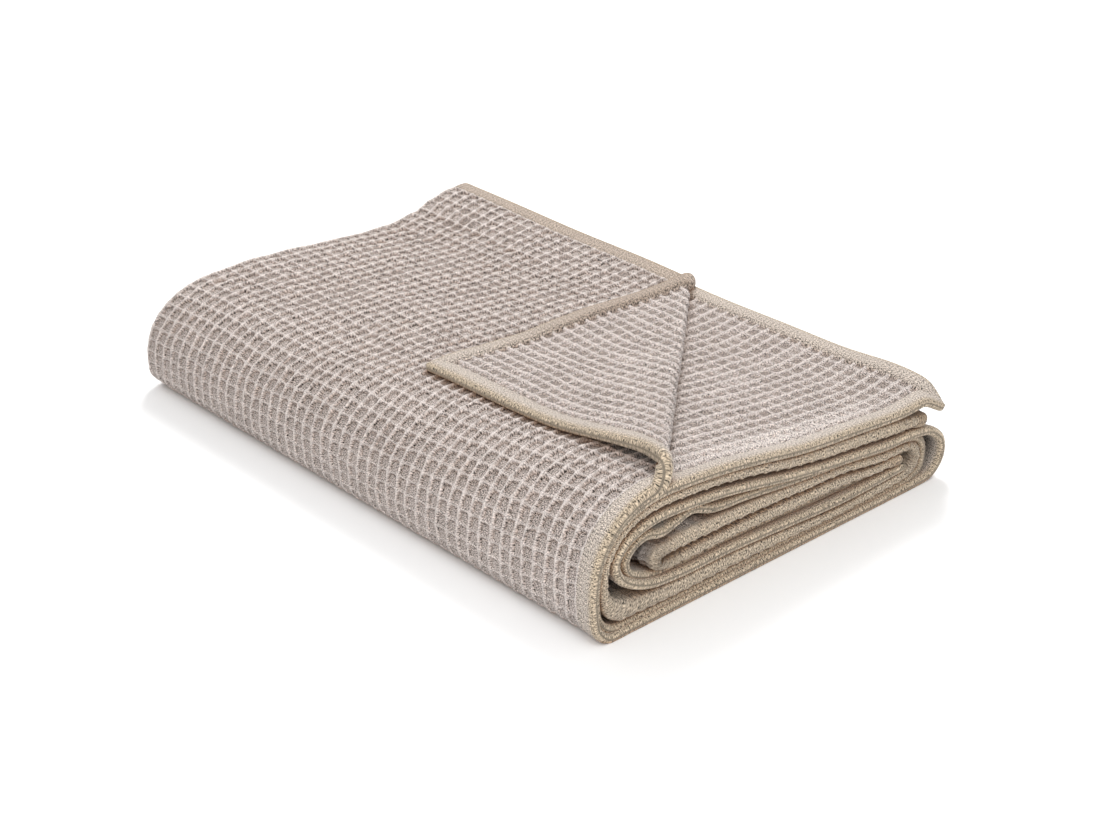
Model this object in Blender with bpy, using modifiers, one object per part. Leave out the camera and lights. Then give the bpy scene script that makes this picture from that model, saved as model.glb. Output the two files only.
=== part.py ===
"""Folded waffle-weave bedspread: one hemmed cotton panel, folded and turned back at one corner.

Metres, +Z up. X runs along the folded bundle, with the hems at its +X end. Y runs to the back.
The panel is cut flat, creased across one corner and laid along its folds. The tables give the
middle of the cloth, in millimetres, and its thickness lies evenly on both sides of that.
"""
import bisect
import math
from collections import namedtuple

import bmesh
import bpy
from mathutils import Vector

MM = 0.001
CLOTH_THICKNESS = 3.0 * MM
BUNDLE_LENGTH = 587.0          # between the hems and the outer fold at the other end
MIDDLE_X = -300.0              # where the middle columns of the height table hold
BUNDLE_CENTRE = {"x": -298.454, "y": 186.963}      # comes to stand over the origin

# The sections of the roll at the hemmed end, from the free rear hem inwards. Each row is a
# section through the four plies: (y, z) of the outer ply and of the inner ply, and the shares
# of the way inwards at which the second and the third ply lie.
Section = namedtuple("Section", "outer_y outer_z inner_y inner_z second third")
TOP_RUN = [
    Section(389.0, 79.5, 356.0, 57.0, 0.14, 0.80),
    Section(330.0, 80.0, 324.0, 59.0, 0.26, 0.62),
    Section(260.0, 87.0, 259.0, 66.5, 0.27, 0.58),
    Section(201.0, 94.0, 201.0, 75.0, 0.31, 0.66),
    Section(155.0, 101.0, 155.0, 83.5, 0.33, 0.67),
    Section(111.0, 107.5, 112.0, 90.5, 0.33, 0.67),
    Section(79.0, 111.0, 82.0, 94.0, 0.33, 0.67),
    Section(57.0, 112.0, 60.0, 95.5, 0.33, 0.67),
]
FRONT_BEND = [
    Section(38.0, 110.0, 40.0, 94.0, 0.33, 0.67),
    Section(18.0, 102.5, 24.0, 89.0, 0.33, 0.67),
    Section(1.0, 89.0, 10.5, 79.5, 0.33, 0.67),
    Section(-10.0, 71.0, 2.0, 66.5, 0.33, 0.67),
    Section(-14.0, 51.0, -0.5, 51.0, 0.33, 0.67),
    Section(-14.0, 31.0, 2.0, 39.5, 0.30, 0.62),
    Section(-11.0, 13.5, 9.5, 31.0, 0.27, 0.57),
    Section(-2.0, 3.2, 22.0, 26.0, 0.24, 0.53),
]
BOTTOM_RUN = [
    Section(24.0, 1.5, 40.0, 24.5, 0.22, 0.51),
    Section(66.0, 1.5, 68.0, 23.0, 0.22, 0.50),
    Section(128.0, 1.5, 128.0, 22.0, 0.23, 0.52),
    Section(200.0, 1.5, 200.0, 18.0, 0.29, 0.60),
    Section(260.0, 1.5, 258.0, 14.5, 0.33, 0.66),
    Section(318.0, 1.5, 310.0, 17.0, 0.30, 0.63),
]
REAR_BEND = [
    Section(352.0, 2.2, 335.0, 18.5, 0.34, 0.66),
    Section(374.0, 6.0, 344.0, 21.5, 0.48, 0.74),
    Section(384.0, 18.0, 349.0, 26.0, 0.61, 0.81),
    Section(383.0, 34.0, 349.0, 32.0, 0.61, 0.81),
    Section(370.0, 46.0, 344.0, 37.0, 0.49, 0.75),
    Section(349.0, 50.5, 335.0, 38.5, 0.36, 0.69),
]
SECOND_RUN = [
    Section(320.0, 51.5, 316.0, 38.5, 0.34, 0.67),
    Section(262.0, 58.5, 260.0, 46.5, 0.35, 0.68),
    Section(200.0, 67.0, 200.0, 49.5, 0.42, 0.71),
    Section(150.0, 75.5, 150.0, 50.5, 0.43, 0.72),
    Section(112.0, 82.0, 112.0, 51.0, 0.43, 0.72),
    Section(88.0, 85.0, 92.0, 51.0, 0.25, 0.70),
    Section(70.0, 86.5, 76.0, 51.0, 0.40, 0.73),
]
INNER_BEND = [
    Section(52.0, 87.0, 65.5, 51.0, 0.50, 0.78),
    Section(33.0, 83.5, 60.0, 50.8, 0.34, 0.77),
    Section(16.0, 75.0, 57.0, 49.5, 0.30, 0.79),
    Section(8.0, 62.0, 55.8, 47.4, 0.29, 0.81),
    Section(12.0, 50.0, 57.0, 45.3, 0.28, 0.79),
    Section(25.0, 39.5, 60.0, 44.3, 0.31, 0.72),
    Section(43.0, 32.0, 67.0, 44.0, 0.33, 0.64),
]
THIRD_RUN = [
    Section(72.0, 28.5, 78.0, 44.0, 0.33, 0.66),
    Section(128.0, 27.5, 128.0, 44.0, 0.33, 0.66),
    Section(200.0, 24.0, 200.0, 43.5, 0.33, 0.63),
    Section(258.0, 21.0, 256.0, 41.0, 0.42, 0.72),
    Section(308.0, 21.5, 304.0, 34.8, 0.33, 0.66),
    Section(338.0, 22.8, 333.0, 34.4, 0.33, 0.66),
]
SECTIONS = TOP_RUN + FRONT_BEND + BOTTOM_RUN + REAR_BEND + SECOND_RUN + INNER_BEND + THIRD_RUN

# How high the bundle stands against the hemmed end: a row for each depth.
Height = namedtuple("Height", "y middle fold_end")
HEIGHTS = [
    Height(60.0, 0.84, 0.81),
    Height(110.0, 0.87, 0.86),
    Height(158.0, 0.90, 0.895),
    Height(217.0, 0.94, 0.93),
    Height(265.0, 0.96, 0.965),
    Height(303.0, 0.985, 1.06),
    Height(329.0, 1.0, 1.17),
    Height(360.0, 1.0, 1.22),
]
REAR_PULL_START_Y = 200.0      # behind this depth the fold end is drawn in
REAR_PULL = 0.88

# Where each run of the roll ends along X: the two hems and the fold beside them.
RunEnd = namedtuple("RunEnd", "sections first_hem second_hem side_fold outer_fold inner_fold")
RUN_ENDS = [
    RunEnd(len(TOP_RUN) + 4, 0.0, 0.0, -3.0, -578.0, -577.0),
    RunEnd(4 + len(BOTTOM_RUN) + len(REAR_BEND), 0.0, -4.0, -3.0, -583.0, -581.0),
    RunEnd(len(SECOND_RUN) + len(INNER_BEND), -1.0, -5.0, -4.0, -577.0, -576.0),
    RunEnd(len(THIRD_RUN), -2.0, -9.0, -4.0, -573.0, -573.0),
]
PLY_COLUMNS = [14.0, 42.0, 95.0, 165.0, 245.0, 330.0, 420.0, 510.0]   # from the hemmed end
OUTER_FOLD = {"reach": 9.0, "steps": 4}
INNER_FOLD = {"reach": 3.5, "steps": 4}
REAR_CORNER = {"reach": 9.0, "from_y": 300.0, "to_y": 385.0}   # top run, at the fold end
HEM_SIDE_FOLD = {"reach": 3.5, "steps": 4}

# The turned-back corner. The crease starts at these distances from the corner along its two
# hems. The roll of the crease is wider at the side hem than at the rear hem.
CREASE = {
    "along_rear_hem": 306.0,
    "along_side_hem": 351.0,
    "rear_reach": 4.5,
    "side_reach": 9.5,
    "rear_height": 8.0,
    "side_height": 17.0,
    "hem_bow": 11.0,              # the side hem arches back beside the roll
    "hem_bow_within": 120.0,
    "tip_x": -293.0,
    "tip_from_rear_hem": 318.0,
    "lying_height": 6.5,
    "settling_steps": (0.2, 0.4, 0.65, 1.0),
    "rear_settling": 30.0,        # the roll eases down onto the first ply within this length
    "side_settling": 130.0,
    "roll_steps": 5,
    "flap_columns": (62.0, 125.0, 200.0, 272.0),    # more columns in the corner alone
}
DROOP = {"depth": 17.0, "along_x": 14.0, "from_y": 352.0, "to_y": 388.0}    # second ply's corner
SWELL = {"height": 6.5, "x": -52.0, "along_x": 50.0, "from_y": 320.0, "to_y": 385.0}

CLOTH_COLOUR = (0.49, 0.42, 0.36, 1.0)
COLLECTION_NAME = "bedspread"
PIECE_NAME = "bedspread"


def smooth(t):
    t = min(max(t, 0.0), 1.0)
    return t * t * (3.0 - 2.0 * t)


def through_three(x, right, middle, left):
    """A parabola through the hemmed end, the middle and the fold end."""
    x = min(max(x, -BUNDLE_LENGTH), 0.0)
    m, e = MIDDLE_X, -BUNDLE_LENGTH
    return (
        right * (x - m) * (x - e) / (m * e)
        + middle * x * (x - e) / (m * (m - e))
        + left * x * (x - m) / (e * (e - m))
    )


def height_factor(x, y):
    ys = [height.y for height in HEIGHTS]
    i = min(max(bisect.bisect_right(ys, y) - 1, 0), len(HEIGHTS) - 2)
    t = smooth((y - ys[i]) / (ys[i + 1] - ys[i]))
    middle = HEIGHTS[i].middle * (1 - t) + HEIGHTS[i + 1].middle * t
    fold_end = HEIGHTS[i].fold_end * (1 - t) + HEIGHTS[i + 1].fold_end * t
    return through_three(x, 1.0, middle, fold_end)


def section_point(row, share):
    """(y, z) at the hemmed end; row counts the sections and may fall between two of them."""
    i = min(max(int(math.floor(row)), 0), len(SECTIONS) - 2)
    t = row - i
    ends = []
    for s in (SECTIONS[i], SECTIONS[i + 1]):
        shares = (0.0, s.second, s.third, 1.0)
        k = min(int(share), 2)
        part = shares[k] * (1 - (share - k)) + shares[k + 1] * (share - k)
        y = s.outer_y + (s.inner_y - s.outer_y) * part
        z = s.outer_z + (s.inner_z - s.outer_z) * part
        ends.append((y, z))
    return (
        ends[0][0] * (1 - t) + ends[1][0] * t,
        ends[0][1] * (1 - t) + ends[1][1] * t,
    )


def place(x, row, ply):
    """The cloth's middle at x, at a place along the roll and in a ply from 0 to 3."""
    y, z = section_point(row, ply)
    if 0.5 < ply < 1.5 and row < 2.0:
        near_end = math.exp(-((x / DROOP["along_x"]) ** 2))
        behind = smooth((y - DROOP["from_y"]) / (DROOP["to_y"] - DROOP["from_y"]))
        z -= DROOP["depth"] * near_end * behind
        beside = math.exp(-(((x - SWELL["x"]) / SWELL["along_x"]) ** 2))
        z += SWELL["height"] * beside * smooth(
            (y - SWELL["from_y"]) / (SWELL["to_y"] - SWELL["from_y"])
        )
    base = CLOTH_THICKNESS / MM / 2
    z = base + (z - base) * height_factor(x, y)
    if y > REAR_PULL_START_Y:
        pull = through_three(x, 1.0, 1.0, REAR_PULL)
        y = REAR_PULL_START_Y + (y - REAR_PULL_START_Y) * pull
    return Vector((x, y, z))


def run_lengths():
    """Length along the first ply from the rear hem to each section."""
    lengths = [0.0]
    for a, b in zip(SECTIONS, SECTIONS[1:]):
        lengths.append(lengths[-1] + math.hypot(b.outer_y - a.outer_y, b.outer_z - a.outer_z))
    return lengths


LENGTHS = run_lengths()


def row_at(length):
    i = min(max(bisect.bisect_right(LENGTHS, length) - 1, 0), len(LENGTHS) - 2)
    return i + (length - LENGTHS[i]) / (LENGTHS[i + 1] - LENGTHS[i])


def run_of(row):
    first = 0
    for ends in RUN_ENDS:
        first += ends.sections
        if row < first - 0.5:
            return ends
    return RUN_ENDS[-1]


def end_blend(row, column):
    """Where the cloth ends at +X, eased between one run and the next."""
    return sum(getattr(run_of(row + d), column) for d in (-2.0, -1.0, 0.0, 1.0, 2.0)) / 5.0


def fold_end(row, column):
    """Where the cloth begins its turn at the fold end; the top run's rear corner reaches out."""
    x = end_blend(row, column)
    if row < len(TOP_RUN):
        y = section_point(row, 0.0)[0]
        behind = (y - REAR_CORNER["from_y"]) / (REAR_CORNER["to_y"] - REAR_CORNER["from_y"])
        x -= REAR_CORNER["reach"] * smooth(behind)
    return x


def across():
    """Columns of the flat panel from its first hem to its second: (kind, value)."""
    last = len(PLY_COLUMNS) - 1
    first_ply = [("ply", 0, -1)] + [("ply", 0, i) for i in range(last + 1)]
    outer = [("outer fold", i / OUTER_FOLD["steps"]) for i in range(OUTER_FOLD["steps"] + 1)]
    fourth_ply = [("ply", 3, i) for i in range(last, -1, -1)]
    side = [("side fold", i / HEM_SIDE_FOLD["steps"]) for i in range(HEM_SIDE_FOLD["steps"] + 1)]
    third_ply = [("ply", 2, i) for i in range(last + 1)]
    inner = [("inner fold", i / INNER_FOLD["steps"]) for i in range(INNER_FOLD["steps"] + 1)]
    second_ply = [("ply", 1, i) for i in range(last, -1, -1)] + [("ply", 1, -1)]
    return first_ply + outer + fourth_ply + side + third_ply + inner + second_ply


def folded(column, row):
    """Where a column of the flat panel lies once folded."""
    kind = column[0]
    if kind == "ply":
        ply, i = column[1], column[2]
        end = end_blend(row, ("first_hem", "second_hem", "side_fold", "side_fold")[ply])
        if i < 0:
            x = end
        else:
            share = PLY_COLUMNS[i] / BUNDLE_LENGTH
            x = -PLY_COLUMNS[i] + end * (1 - share)
        return place(x, row, float(ply))
    angle = math.pi * column[1]
    share = (1 - math.cos(angle)) / 2
    if kind == "outer fold":
        x = fold_end(row, "outer_fold")
        a, b, out = place(x, row, 0.0), place(x, row, 3.0), -OUTER_FOLD["reach"]
    elif kind == "inner fold":
        x = fold_end(row, "inner_fold")
        a, b, out = place(x, row, 2.0), place(x, row, 1.0), -INNER_FOLD["reach"]
    else:
        x = end_blend(row, "side_fold") - HEM_SIDE_FOLD["reach"]
        a, b, out = place(x, row, 3.0), place(x, row, 2.0), HEM_SIDE_FOLD["reach"]
    point = a.lerp(b, share)
    point.x += out * math.sin(angle)
    return point


def crease_frame():
    """The crease on the flat first ply, in (x, length from the rear hem)."""
    start = Vector((0.0, CREASE["along_side_hem"]))
    end = Vector((-CREASE["along_rear_hem"], 0.0))
    along = (end - start).normalized()
    towards_corner = Vector((-along.y, along.x))
    if towards_corner.dot(-start) < 0:
        towards_corner = -towards_corner
    return start, along, towards_corner, (end - start).length


def roll_size(t):
    """How far the roll reaches out at t along the crease, its height, and its mean radius."""
    share = min(max(t / crease_frame()[3], 0.0), 1.0)
    reach = CREASE["side_reach"] + (CREASE["rear_reach"] - CREASE["side_reach"]) * share
    height = CREASE["side_height"] + (CREASE["rear_height"] - CREASE["side_height"]) * share
    return reach, height, (reach + height / 2) / 2


def settling(t):
    share = min(max(t / crease_frame()[3], 0.0), 1.0)
    return CREASE["side_settling"] + (CREASE["rear_settling"] - CREASE["side_settling"]) * share


def turned_back(flat):
    """A point of the corner beyond the crease, rolled over and laid on the first ply."""
    start, along, out, _ = crease_frame()
    offset = flat - start
    t, d = offset.dot(along), offset.dot(out)
    reach, height, radius = roll_size(t)
    corner = -start
    corner_t, corner_d = corner.dot(along), corner.dot(out)
    tip = Vector((CREASE["tip_x"], CREASE["tip_from_rear_hem"])) - start
    if d <= math.pi * radius:
        s = reach * math.sin(d / radius)
        lift = height * (1 - math.cos(d / radius)) / 2
    else:
        full = corner_d - math.pi * roll_size(corner_t)[2]
        s = (d - math.pi * radius) * tip.dot(out) / full
        settled = smooth((d - math.pi * radius) / settling(t))
        lift = height + (CREASE["lying_height"] - height) * settled
    half_roll = math.pi * radius / 2
    swing = max(d - half_roll, 0.0) / max(corner_d - half_roll, 1.0)
    t += (tip.dot(along) - corner_t) * swing
    at = start + along * t + out * s
    near_side = math.exp(-((t / CREASE["hem_bow_within"]) ** 2))
    at.y -= CREASE["hem_bow"] * near_side * smooth(d / 45.0)
    step = 2.0
    here = place(at.x, row_at(at.y), 0.0)
    ahead = place(at.x, row_at(at.y + step), 0.0)
    left = place(at.x - step, row_at(at.y), 0.0)
    normal = (left - here).cross(ahead - here).normalized()
    return here + normal * lift


def clear_scene():
    for obj in list(bpy.data.objects):
        bpy.data.objects.remove(obj, do_unlink=True)


def flat_panel():
    """The panel as a flat grid: x counts the columns, y the sections."""
    columns = across()
    bm = bmesh.new()
    grid = [[bm.verts.new((float(i), float(j), 0.0)) for i in range(len(columns))]
            for j in range(len(SECTIONS))]
    for j in range(len(SECTIONS) - 1):
        for i in range(len(columns) - 1):
            bm.faces.new((grid[j][i], grid[j][i + 1], grid[j + 1][i + 1], grid[j + 1][i]))
    return bm, columns


def first_ply_x(u):
    """Distance along the first ply for a column count that may fall between two columns."""
    xs = [0.0] + [-c for c in PLY_COLUMNS] + [RUN_ENDS[0].outer_fold]
    i = min(max(int(math.floor(u)), 0), len(xs) - 2)
    return xs[i] * (1 - (u - i)) + xs[i + 1] * (u - i)


def flat_place(co):
    """The (x, length) of a panel vertex in the first ply."""
    i = min(max(int(math.floor(co.y)), 0), len(LENGTHS) - 2)
    length = LENGTHS[i] + (LENGTHS[i + 1] - LENGTHS[i]) * (co.y - i)
    return Vector((first_ply_x(co.x), length))


def cut(bm, point, normal, last_length, beyond_crease=False):
    """Cuts the first ply's flat corner along a line, or only the part beyond the crease."""
    start, _, out, _ = crease_frame()

    def inside(v):
        flat = Vector((v.co.x, v.co.y))
        beyond = not beyond_crease or (flat - start).dot(out) > -0.5
        return v.co.x <= 0.01 and v.co.y <= last_length + 0.01 and beyond

    faces = [f for f in bm.faces if all(inside(v) for v in f.verts)]
    geometry = faces + list({e for f in faces for e in f.edges})
    geometry += list({v for f in faces for v in f.verts})
    bmesh.ops.bisect_plane(
        bm, geom=geometry, dist=0.5, plane_co=(point.x, point.y, 0.0),
        plane_no=(normal.x, normal.y, 0.0),
    )


def build():
    bm, columns = flat_panel()
    corner_columns = len(PLY_COLUMNS) + 1
    corner_rows = len(TOP_RUN) + 2
    places = {}
    for v in bm.verts:
        places[v] = v.co.copy()
    for v in bm.verts:
        if v.co.x <= corner_columns and v.co.y <= corner_rows:
            at = flat_place(v.co)
            v.co = (at.x, at.y, 0.0)
        else:
            v.co = (v.co.x * 1000.0, 5000.0 + v.co.y * 1000.0, 0.0)
    start, along, out, length = crease_frame()
    turns = [math.pi * i / CREASE["roll_steps"] for i in range(CREASE["roll_steps"] + 1)]
    lines = [(turn, 0.0) for turn in turns]
    lines += [(math.pi, step) for step in CREASE["settling_steps"]]
    for turn, step in lines:
        near = start + out * (turn * roll_size(0.0)[2] + step * settling(0.0))
        far = start + along * length
        far += out * (turn * roll_size(length)[2] + step * settling(length))
        line = (far - near).normalized()
        cut(bm, near, Vector((-line.y, line.x)), LENGTHS[corner_rows])
    for column in CREASE["flap_columns"]:
        cut(bm, Vector((-column, 0.0)), Vector((1.0, 0.0)), LENGTHS[corner_rows], beyond_crease=True)
    bmesh.ops.triangulate(bm, faces=[f for f in bm.faces if len(f.verts) > 4])
    for v in bm.verts:
        if v in places:
            u, row = places[v].x, places[v].y
            if u <= corner_columns and row <= corner_rows:
                flat = Vector((v.co.x, v.co.y))
                if (flat - start).dot(out) > 0.5:
                    v.co = turned_back(flat)
                    continue
            v.co = folded(columns[int(u)], row)
        else:
            flat = Vector((v.co.x, v.co.y))
            if (flat - start).dot(out) > 0.5:
                v.co = turned_back(flat)
            else:
                v.co = place(flat.x, row_at(flat.y), 0.0)
    centre = Vector((BUNDLE_CENTRE["x"], BUNDLE_CENTRE["y"], 0.0))
    for v in bm.verts:
        v.co = (v.co - centre) * MM
    bmesh.ops.recalc_face_normals(bm, faces=bm.faces)
    mesh = bpy.data.meshes.new(PIECE_NAME)
    bm.to_mesh(mesh)
    bm.free()
    obj = bpy.data.objects.new(PIECE_NAME, mesh)
    collection = bpy.data.collections.new(COLLECTION_NAME)
    bpy.context.scene.collection.children.link(collection)
    collection.objects.link(obj)
    solid = obj.modifiers.new("thickness", "SOLIDIFY")
    solid.thickness = CLOTH_THICKNESS
    solid.offset = 0.0
    solid.use_even_offset = False
    solid.use_quality_normals = True
    material = bpy.data.materials.new("cotton waffle cloth")
    material.use_nodes = True
    shader = next(n for n in material.node_tree.nodes if n.type == "BSDF_PRINCIPLED")
    shader.inputs["Base Color"].default_value = CLOTH_COLOUR
    shader.inputs["Roughness"].default_value = 0.9
    mesh.materials.append(material)
    return obj


clear_scene()
build()
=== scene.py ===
# Folded waffle bedspread: one hemmed cotton panel, folded, rolled flat and turned back at a corner.
# The panel is worked out flat, as lines across and lines down, laid along its folds, and given
# its cells, hems and thickness. Lengths are millimetres until the meshes are made.
import math

import bpy
import numpy as np
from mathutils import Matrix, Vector


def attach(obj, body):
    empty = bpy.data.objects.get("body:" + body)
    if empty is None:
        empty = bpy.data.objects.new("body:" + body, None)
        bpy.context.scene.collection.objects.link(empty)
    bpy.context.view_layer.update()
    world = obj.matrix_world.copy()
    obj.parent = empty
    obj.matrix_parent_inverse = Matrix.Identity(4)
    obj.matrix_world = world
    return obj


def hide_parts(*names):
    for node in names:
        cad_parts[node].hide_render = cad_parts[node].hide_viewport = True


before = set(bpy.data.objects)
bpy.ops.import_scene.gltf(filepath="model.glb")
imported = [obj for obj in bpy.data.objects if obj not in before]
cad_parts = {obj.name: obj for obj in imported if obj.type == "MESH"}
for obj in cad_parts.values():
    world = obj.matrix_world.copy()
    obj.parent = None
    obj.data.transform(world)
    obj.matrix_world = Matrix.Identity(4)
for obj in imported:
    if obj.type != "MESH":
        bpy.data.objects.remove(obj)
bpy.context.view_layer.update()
print("frame loaded")

# camera first, at the photograph's angle
view = {"place": (1.26565, -1.12626, 0.8819), "forward": (-0.6584, 0.5989, -0.4558), "lens": 71.4}


def makeCamera():
    data = bpy.data.cameras.new("camera")
    data.sensor_width = 36.0
    data.lens = view["lens"]
    data.clip_start = 0.05
    cam = bpy.data.objects.new("camera", data)
    cam.location = view["place"]
    cam.rotation_euler = Vector(view["forward"]).to_track_quat("-Z", "Y").to_euler()
    bpy.context.scene.collection.objects.link(cam)
    bpy.context.scene.camera = cam


makeCamera()
print("camera placed")

# the path of the four plies
roll = {
    "length": 587.0,
    "centre": (-298.454, 186.963),
    "middleX": -300.0,
    "pullFrom": 200.0,        # behind this depth the fold end is drawn in
    "pull": 0.88,
    "restGap": 1.5,
}
# outer ply y, z, inner ply y, z, and the shares of the way in of the second and third plies
rollSections = [
    (389.0, 79.5, 356.0, 57.0, 0.14, 0.80),      # top run, from the free rear hem
    (330.0, 80.0, 324.0, 59.0, 0.26, 0.62),
    (260.0, 87.0, 259.0, 66.5, 0.27, 0.58),
    (201.0, 94.0, 201.0, 75.0, 0.31, 0.66),
    (155.0, 101.0, 155.0, 83.5, 0.33, 0.67),
    (111.0, 107.5, 112.0, 90.5, 0.33, 0.67),
    (79.0, 111.0, 82.0, 94.0, 0.33, 0.67),
    (57.0, 112.0, 60.0, 95.5, 0.33, 0.67),
    (38.0, 110.0, 40.0, 94.0, 0.33, 0.67),       # front bend
    (18.0, 102.5, 24.0, 89.0, 0.33, 0.67),
    (1.0, 89.0, 10.5, 79.5, 0.33, 0.67),
    (-10.0, 71.0, 2.0, 66.5, 0.33, 0.67),
    (-14.0, 51.0, -0.5, 51.0, 0.33, 0.67),
    (-14.0, 31.0, 2.0, 39.5, 0.30, 0.62),
    (-11.0, 13.5, 9.5, 31.0, 0.27, 0.57),
    (-2.0, 3.2, 22.0, 26.0, 0.24, 0.53),
    (24.0, 1.5, 40.0, 24.5, 0.22, 0.51),         # bottom run
    (66.0, 1.5, 68.0, 23.0, 0.22, 0.50),
    (128.0, 1.5, 128.0, 22.0, 0.23, 0.52),
    (200.0, 1.5, 200.0, 18.0, 0.29, 0.60),
    (260.0, 1.5, 258.0, 14.5, 0.33, 0.66),
    (318.0, 1.5, 310.0, 17.0, 0.30, 0.63),
    (352.0, 2.2, 335.0, 18.5, 0.34, 0.66),       # rear bend
    (374.0, 6.0, 344.0, 21.5, 0.48, 0.74),
    (384.0, 18.0, 349.0, 26.0, 0.61, 0.81),
    (383.0, 34.0, 349.0, 32.0, 0.61, 0.81),
    (370.0, 46.0, 344.0, 37.0, 0.49, 0.75),
    (349.0, 50.5, 335.0, 38.5, 0.36, 0.69),
    (320.0, 51.5, 316.0, 38.5, 0.34, 0.67),      # second run
    (262.0, 58.5, 260.0, 46.5, 0.35, 0.68),
    (200.0, 67.0, 200.0, 49.5, 0.42, 0.71),
    (150.0, 75.5, 150.0, 50.5, 0.43, 0.72),
    (112.0, 82.0, 112.0, 51.0, 0.43, 0.72),
    (88.0, 85.0, 92.0, 51.0, 0.25, 0.70),
    (70.0, 86.5, 76.0, 51.0, 0.40, 0.73),
    (52.0, 87.0, 65.5, 51.0, 0.50, 0.78),        # inner bend
    (33.0, 83.5, 60.0, 50.8, 0.34, 0.77),
    (16.0, 75.0, 57.0, 49.5, 0.30, 0.79),
    (8.0, 62.0, 55.8, 47.4, 0.29, 0.81),
    (12.0, 50.0, 57.0, 45.3, 0.28, 0.79),
    (25.0, 39.5, 60.0, 44.3, 0.31, 0.72),
    (43.0, 32.0, 67.0, 44.0, 0.33, 0.64),
    (72.0, 28.5, 78.0, 44.0, 0.33, 0.66),        # third run, to the hem inside
    (128.0, 27.5, 128.0, 44.0, 0.33, 0.66),
    (200.0, 24.0, 200.0, 43.5, 0.33, 0.63),
    (258.0, 21.0, 256.0, 41.0, 0.42, 0.72),
    (308.0, 21.5, 304.0, 34.8, 0.33, 0.66),
    (338.0, 22.8, 333.0, 34.4, 0.33, 0.66),
]
topSections = 8
# depth, and the bundle's height there at its middle and fold end, against the hemmed end
heightTable = [
    (60.0, 0.84, 0.81),
    (110.0, 0.87, 0.86),
    (158.0, 0.90, 0.895),
    (217.0, 0.94, 0.93),
    (265.0, 0.96, 0.965),
    (303.0, 0.985, 1.06),
    (329.0, 1.0, 1.17),
    (360.0, 1.0, 1.22),
]
# how many sections, then where the first hem, second hem, side fold, outer and inner fold end
runEnds = [
    (12, 0.0, 0.0, -3.0, -578.0, -577.0),
    (16, 0.0, -4.0, -3.0, -583.0, -581.0),
    (14, -1.0, -5.0, -4.0, -577.0, -576.0),
    (6, -2.0, -9.0, -4.0, -573.0, -573.0),
]
endNames = ("firstHem", "secondHem", "sideFold", "outerFold", "innerFold")
foldReach = {"outer": 9.0, "inner": 3.5, "side": 3.5}
rearCorner = {"reach": 9.0, "fromY": 300.0, "toY": 385.0}
droop = {"depth": 17.0, "alongX": 14.0, "fromY": 352.0, "toY": 388.0}       # second ply's corner
swell = {"height": 6.5, "x": -52.0, "alongX": 50.0, "fromY": 320.0, "toY": 385.0}


def smooth(t):
    t = np.clip(t, 0.0, 1.0)
    return t * t * (3.0 - 2.0 * t)


def unit(vectors):
    return vectors / np.maximum(np.linalg.norm(vectors, axis=-1, keepdims=True), 1e-9)


def roundedPath(points, steps):
    # a smooth line through the points, eased by the distance between them
    points = np.asarray(points, float)
    gaps = np.linalg.norm(np.diff(points, axis=0), axis=1)
    slopes = np.diff(points, axis=0) / gaps[:, None]
    tangents = np.empty_like(points)
    tangents[0], tangents[-1] = slopes[0], slopes[-1]
    before, after = gaps[:-1, None], gaps[1:, None]
    tangents[1:-1] = (slopes[:-1] * after + slopes[1:] * before) / (before + after)
    t = np.linspace(0.0, 1.0, steps, endpoint=False)[None, :, None]
    h = gaps[:, None, None]
    a, b = points[:-1, None], points[1:, None]
    ta, tb = tangents[:-1, None], tangents[1:, None]
    path = (
        a * (2 * t**3 - 3 * t**2 + 1)
        + ta * h * (t**3 - 2 * t**2 + t)
        + b * (-2 * t**3 + 3 * t**2)
        + tb * h * (t**3 - t**2)
    )
    return np.vstack([path.reshape(-1, 2), points[-1]])


def plyPaths():
    table = np.array(rollSections)
    outer, inner = table[:, 0:2], table[:, 2:4]
    shares = (0.0 * table[:, 4], table[:, 4], table[:, 5], 0.0 * table[:, 4] + 1.0)
    return [roundedPath(outer + (inner - outer) * s[:, None], 40) for s in shares]


paths = plyPaths()
pathSteps = np.linalg.norm(np.diff(paths[0], axis=0), axis=1)
pathLength = np.concatenate([[0.0], np.cumsum(pathSteps)])
sectionLength = pathLength[::40]
rollEnd = float(pathLength[-1])


def endTable():
    # each run's ends, eased from run to run
    runs = np.repeat(np.array([r[1:] for r in runEnds]), [r[0] for r in runEnds], axis=0)
    padded = np.pad(runs, ((2, 2), (0, 0)), mode="edge")
    return sum(padded[i:i + len(runs)] for i in range(5)) / 5.0


ends = endTable()


def endAt(name, v):
    return np.interp(v, sectionLength, ends[:, endNames.index(name)])


def threePoint(x, right, middle, left):
    x = np.clip(x, -roll["length"], 0.0)
    m, e = roll["middleX"], -roll["length"]
    return (
        right * (x - m) * (x - e) / (m * e)
        + middle * x * (x - e) / (m * (m - e))
        + left * x * (x - m) / (e * (e - m))
    )


def heightFactor(x, y):
    table = np.array(heightTable)
    i = np.clip(np.searchsorted(table[:, 0], y, side="right") - 1, 0, len(table) - 2)
    t = smooth((y - table[i, 0]) / (table[i + 1, 0] - table[i, 0]))
    middle = table[i, 1] * (1 - t) + table[i + 1, 1] * t
    foldEnd = table[i, 2] * (1 - t) + table[i + 1, 2] * t
    return threePoint(x, 1.0, middle, foldEnd)


def softUneven(x, y):
    # slow rises and dips that handling leaves in the bundle
    return 0.010 * (
        np.sin(x / 47.0 + 0.8) * np.sin(y / 39.0 + 0.3)
        + 0.7 * np.sin(x / 29.0 - y / 33.0)
        + 0.5 * np.sin(x / 71.0 + y / 24.0 + 1.7)
    )


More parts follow.
